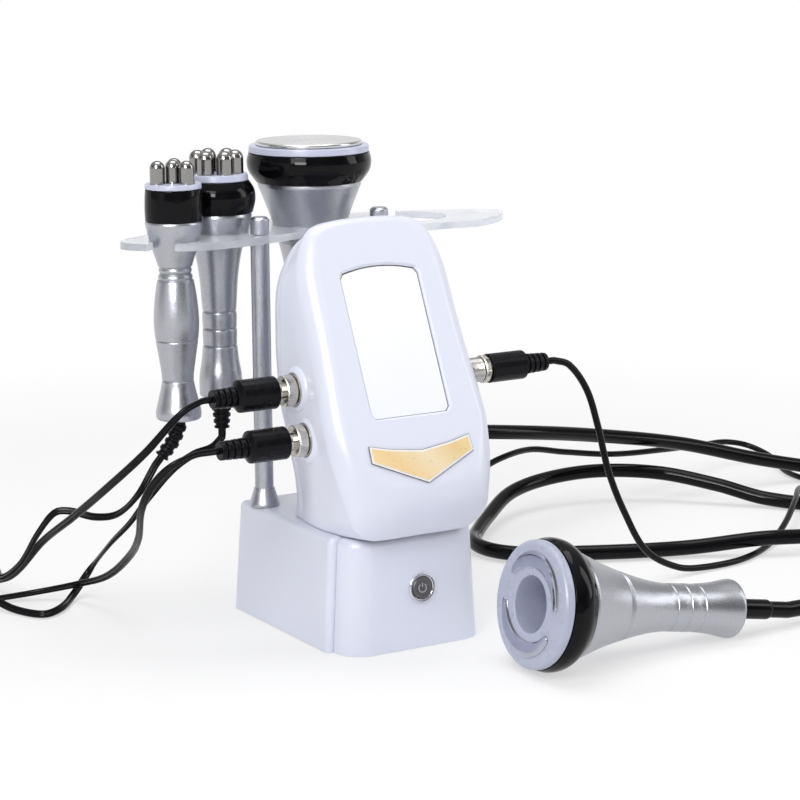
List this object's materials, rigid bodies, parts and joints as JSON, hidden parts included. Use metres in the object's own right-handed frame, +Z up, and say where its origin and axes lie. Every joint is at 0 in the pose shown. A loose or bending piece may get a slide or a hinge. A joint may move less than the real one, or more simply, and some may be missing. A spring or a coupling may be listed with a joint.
{
  "type": "facial massager",
  "caption": "Desk-top facial massager: leaning screen head on a base, a clear tray holding corded handpieces on two posts, and a vacuum handpiece on its hose.",
  "frame": {"origin": "centre of the base's flat underside, on the table", "axes": "+Z up, the screen faces -Y, the vacuum handpiece's cup faces -X"},
  "size_m": [0.8111, 0.4651, 0.3036],
  "materials": {
    "housing_plastic": "smooth lavender-white gloss",
    "inner_plastic": "plain moulded",
    "black_plastic": "fine matte moulded",
    "gloss_black": "polished black",
    "pale_ring": "pale lavender gloss",
    "satin_silver": "satin silver paint",
    "chrome": "polished chrome",
    "nickel": "nickel plate",
    "brushed_disc": "finely turned",
    "clear_acrylic": "clear polished",
    "screen_face": "smooth pale screen face",
    "gold_foil": "gold gradient with a pale border",
    "button_grey": "satin grey",
    "grey_metal": "plain metal",
    "cord_black": "smooth glossy sheath",
    "hose_black": "smooth glossy hose"
  },
  "bodies": {
    "machine": {"badge_plate": "gold_foil", "base_bottom_plate": "housing_plastic", "base_front_cover": "housing_plastic", "base_housing": "housing_plastic", "button_bezel": "chrome", "button_switch": "inner_plastic", "cavitation_cord": "cord_black", "cavitation_plug": "black_plastic", "cavitation_socket": "nickel", "display_module": "inner_plastic", "display_window": "screen_face", "head_front_shell": "housing_plastic", "head_rear_shell": "housing_plastic", "holder_tray": "clear_acrylic", "hose_nozzle": "grey_metal", "medium_coil_tie": "black_plastic", "medium_cord_coil": "cord_black", "medium_cord_handle_side": "cord_black", "medium_cord_plug_side": "cord_black", "medium_plug": "black_plastic", "medium_socket": "nickel", "post_cap_left": "chrome", "post_cap_right": "chrome", "power_inlet": "black_plastic", "power_supply": "grey_metal", "small_coil_tie": "black_plastic", "small_cord_coil": "cord_black", "small_cord_handle_side": "cord_black", "small_cord_plug_side": "cord_black", "small_plug": "black_plastic", "small_socket": "nickel", "tray_post_left": "chrome", "tray_post_right": "chrome", "vacuum_hose": "hose_black", "vacuum_pump": "grey_metal"},
    "power_button": {"button_cap": "button_grey"},
    "small_nut": {"small_coupling_nut": "nickel"},
    "medium_nut": {"medium_coupling_nut": "nickel"},
    "cavitation_nut": {"cavitation_coupling_nut": "nickel"},
    "small_handpiece": {"small_handle": "satin_silver", "small_band": "gloss_black", "small_insulator_ring": "pale_ring", "small_electrodes": "chrome", "small_strain_relief": "black_plastic"},
    "medium_handpiece": {"medium_handle": "satin_silver", "medium_band": "gloss_black", "medium_insulator_ring": "pale_ring", "medium_electrodes": "chrome", "medium_strain_relief": "black_plastic"},
    "cavitation_handpiece": {"cavitation_handle": "satin_silver", "cavitation_band": "gloss_black", "cavitation_insulator_ring": "pale_ring", "cavitation_disc": "brushed_disc", "cavitation_strain_relief": "black_plastic"},
    "vacuum_handpiece": {"vacuum_handle": "satin_silver", "vacuum_band": "gloss_black", "vacuum_cup": "pale_ring", "vacuum_electrode_upper": "chrome", "vacuum_electrode_lower": "chrome", "vacuum_hose_sleeve": "gloss_black"}
  },
  "joints": [
    {"name": "button_press", "type": "slide", "parent": "machine", "child": "power_button", "axis": [0, 0.9986, -0.0523], "range_m": [0, 0.0015], "stiffness_N_per_m": 400, "springref_m": -0.0004},
    {"name": "small_nut_turn", "type": "hinge", "parent": "machine", "child": "small_nut", "pos_m": [-0.062, -0.022, 0.1618], "axis": [-1, 0, 0], "continuous": true},
    {"name": "medium_nut_turn", "type": "hinge", "parent": "machine", "child": "medium_nut", "pos_m": [-0.062, -0.0345, 0.1325], "axis": [-1, 0, 0], "continuous": true},
    {"name": "cavitation_nut_turn", "type": "hinge", "parent": "machine", "child": "cavitation_nut", "pos_m": [0.0727, -0.03, 0.1623], "axis": [1, 0, 0], "continuous": true},
    {"name": "small_lift", "type": "slide", "parent": "machine", "child": "small_handpiece", "axis": [0, 0, 1], "range_m": [0, 0.155]},
    {"name": "medium_lift", "type": "slide", "parent": "machine", "child": "medium_handpiece", "axis": [0, 0, 1], "range_m": [0, 0.15]},
    {"name": "cavitation_lift", "type": "slide", "parent": "machine", "child": "cavitation_handpiece", "axis": [0, 0, 1], "range_m": [0, 0.145]},
    {"name": "vacuum_lift", "type": "slide", "parent": "machine", "child": "vacuum_handpiece", "axis": [0, 0, 1], "range_m": [0, 0.15]}
  ]
}
